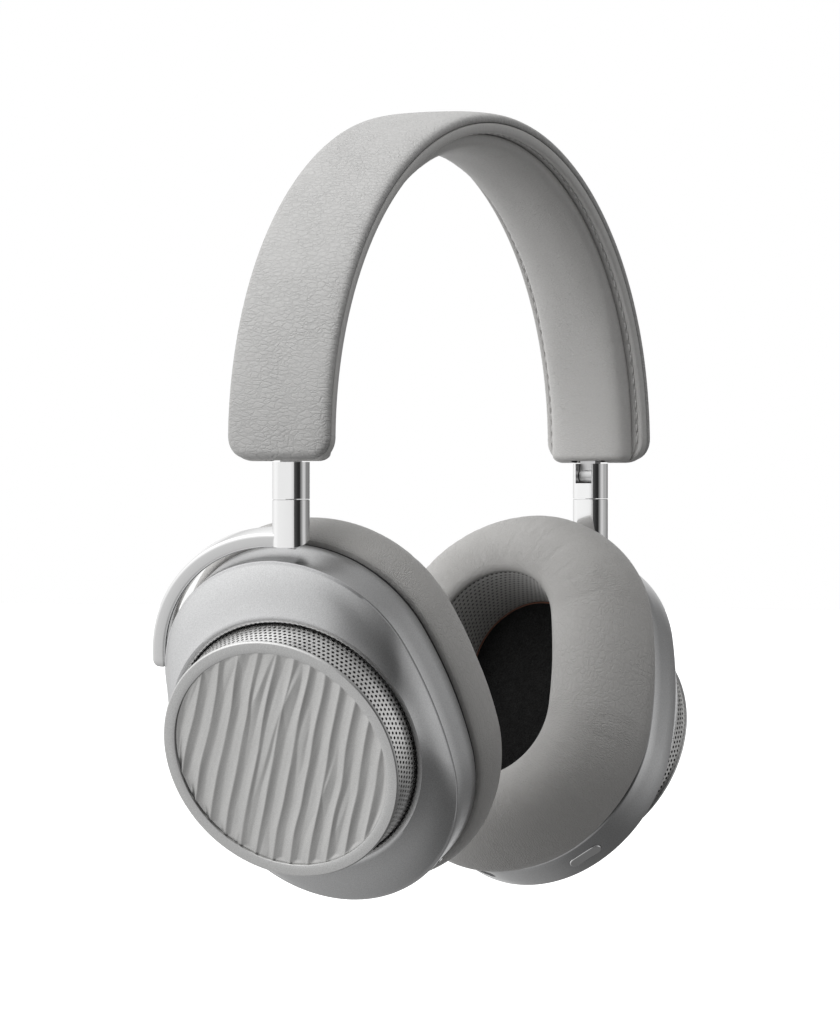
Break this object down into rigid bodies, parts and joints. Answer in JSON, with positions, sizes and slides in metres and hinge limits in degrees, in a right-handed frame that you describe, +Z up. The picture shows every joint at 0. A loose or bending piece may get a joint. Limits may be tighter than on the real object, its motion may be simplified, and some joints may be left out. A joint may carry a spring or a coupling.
{
  "type": "over-ear headphones",
  "caption": "Folding over-ear headphones with a padded leather band, sliding single-arm yokes, tilting round-capped metal cups and deep leather ear pads.",
  "frame": {"origin": "middle of the underside of the head cushion, where the band rests on the wearer's head", "axes": "+X from the left ear to the right ear, +Y towards the side of the cups that the yoke arms are on, +Z up"},
  "size_m": [0.171, 0.0774, 0.1897],
  "materials": {
    "band_leather": "fine pebbled grain, satin",
    "soft_leather": "smooth soft leather, satin",
    "pad_leather": "soft leather with fine creases, satin",
    "lining_mesh": "knitted mesh",
    "driver_cloth": "black acoustic cloth",
    "cup_aluminium": "fine bead-blasted anodised",
    "cap_aluminium": "satin anodised with a bright chamfer",
    "cap_insert": "wavy ridges, satin",
    "grille_aluminium": "bright perforated sheet",
    "polished_metal": "polished",
    "satin_metal": "satin",
    "pin_steel": "ground",
    "spring_steel": "cold rolled",
    "dark_steel": "black oxide",
    "inner_plastic": "moulded, matte",
    "magnet": "nickel plated",
    "driver_film": "thin polymer film",
    "circuit_board": "solder mask",
    "battery_wrap": "shrink wrap",
    "cable": "polyimide ribbon"
  },
  "bodies": {
    "headband": {"band_cover": "band_leather", "band_base": "band_leather", "band_cushion": "soft_leather", "band_spring": "spring_steel", "band_cable": "cable", "left_band_end_block": "inner_plastic", "left_band_end_screws": "dark_steel", "right_band_end_block": "inner_plastic", "right_band_end_screws": "dark_steel"},
    "left_slider": {"left_slider": "satin_metal"},
    "left_fork": {"left_fold_fork": "polished_metal", "left_fold_pin": "pin_steel", "left_swivel_pin": "pin_steel"},
    "left_yoke": {"left_yoke": "polished_metal", "left_pivot_pin": "pin_steel"},
    "left_cup": {"left_cup_shell": "cup_aluminium", "left_pivot_bush": "inner_plastic", "left_cap_carrier": "inner_plastic", "left_cap_bezel": "cap_aluminium", "left_cap_insert": "cap_insert", "left_grille_ring": "grille_aluminium", "left_touch_sensor": "circuit_board", "left_baffle": "inner_plastic", "left_baffle_screws": "dark_steel", "left_driver_frame": "inner_plastic", "left_driver_magnet": "magnet", "left_driver_cone": "driver_film", "left_pad_ring": "inner_plastic", "left_ear_pad": "pad_leather", "left_pad_lining": "lining_mesh", "left_driver_cloth": "driver_cloth", "left_button_switch": "inner_plastic", "battery": "battery_wrap"},
    "left_button": {"left_cup_button": "polished_metal"},
    "right_slider": {"right_slider": "satin_metal"},
    "right_fork": {"right_fold_fork": "polished_metal", "right_fold_pin": "pin_steel", "right_swivel_pin": "pin_steel"},
    "right_yoke": {"right_yoke": "polished_metal", "right_pivot_pin": "pin_steel"},
    "right_cup": {"right_cup_shell": "cup_aluminium", "right_pivot_bush": "inner_plastic", "right_cap_carrier": "inner_plastic", "right_cap_bezel": "cap_aluminium", "right_cap_insert": "cap_insert", "right_grille_ring": "grille_aluminium", "right_touch_sensor": "circuit_board", "right_baffle": "inner_plastic", "right_baffle_screws": "dark_steel", "right_driver_frame": "inner_plastic", "right_driver_magnet": "magnet", "right_driver_cone": "driver_film", "right_pad_ring": "inner_plastic", "right_ear_pad": "pad_leather", "right_pad_lining": "lining_mesh", "right_driver_cloth": "driver_cloth", "right_button_switch": "inner_plastic", "main_board": "circuit_board", "usb_socket": "dark_steel"},
    "right_button": {"right_cup_button": "polished_metal"}
  },
  "joints": [
    {"name": "right_size", "type": "slide", "parent": "headband", "child": "right_slider", "axis": [0.0696, -0.0049, -0.9976], "range_m": [0, 0.02]},
    {"name": "right_fold", "type": "hinge", "parent": "right_slider", "child": "right_fork", "pos_m": [0.073, 0, -0.0783], "axis": [0.0698, 0.9976, 0], "range_deg": [0, 70]},
    {"name": "right_swivel", "type": "hinge", "parent": "right_fork", "child": "right_yoke", "pos_m": [0.073, 0, -0.084], "axis": [0, 0, 1], "range_deg": [-80, 15]},
    {"name": "right_tilt", "type": "hinge", "parent": "right_yoke", "child": "right_cup", "pos_m": [0.06152, 0.00261, -0.12052], "axis": [0.0698, 0.9976, 0], "range_deg": [-25, 8]},
    {"name": "right_button_press", "type": "slide", "parent": "right_cup", "child": "right_button", "axis": [0.3584, 0.5542, 0.7513], "range_m": [0, 0.0008], "stiffness_N_per_m": 1500, "springref_m": -0.0002},
    {"name": "left_size", "type": "slide", "parent": "headband", "child": "left_slider", "axis": [-0.0696, -0.0049, -0.9976], "range_m": [0, 0.02]},
    {"name": "left_fold", "type": "hinge", "parent": "left_slider", "child": "left_fork", "pos_m": [-0.073, 0, -0.0783], "axis": [-0.0698, 0.9976, 0], "range_deg": [-70, 0]},
    {"name": "left_swivel", "type": "hinge", "parent": "left_fork", "child": "left_yoke", "pos_m": [-0.073, 0, -0.084], "axis": [0, 0, 1], "range_deg": [-15, 80]},
    {"name": "left_tilt", "type": "hinge", "parent": "left_yoke", "child": "left_cup", "pos_m": [-0.06152, 0.00261, -0.12052], "axis": [-0.0698, 0.9976, 0], "range_deg": [-8, 25]},
    {"name": "left_button_press", "type": "slide", "parent": "left_cup", "child": "left_button", "axis": [-0.3584, 0.5542, 0.7513], "range_m": [0, 0.0008], "stiffness_N_per_m": 1500, "springref_m": -0.0002}
  ]
}
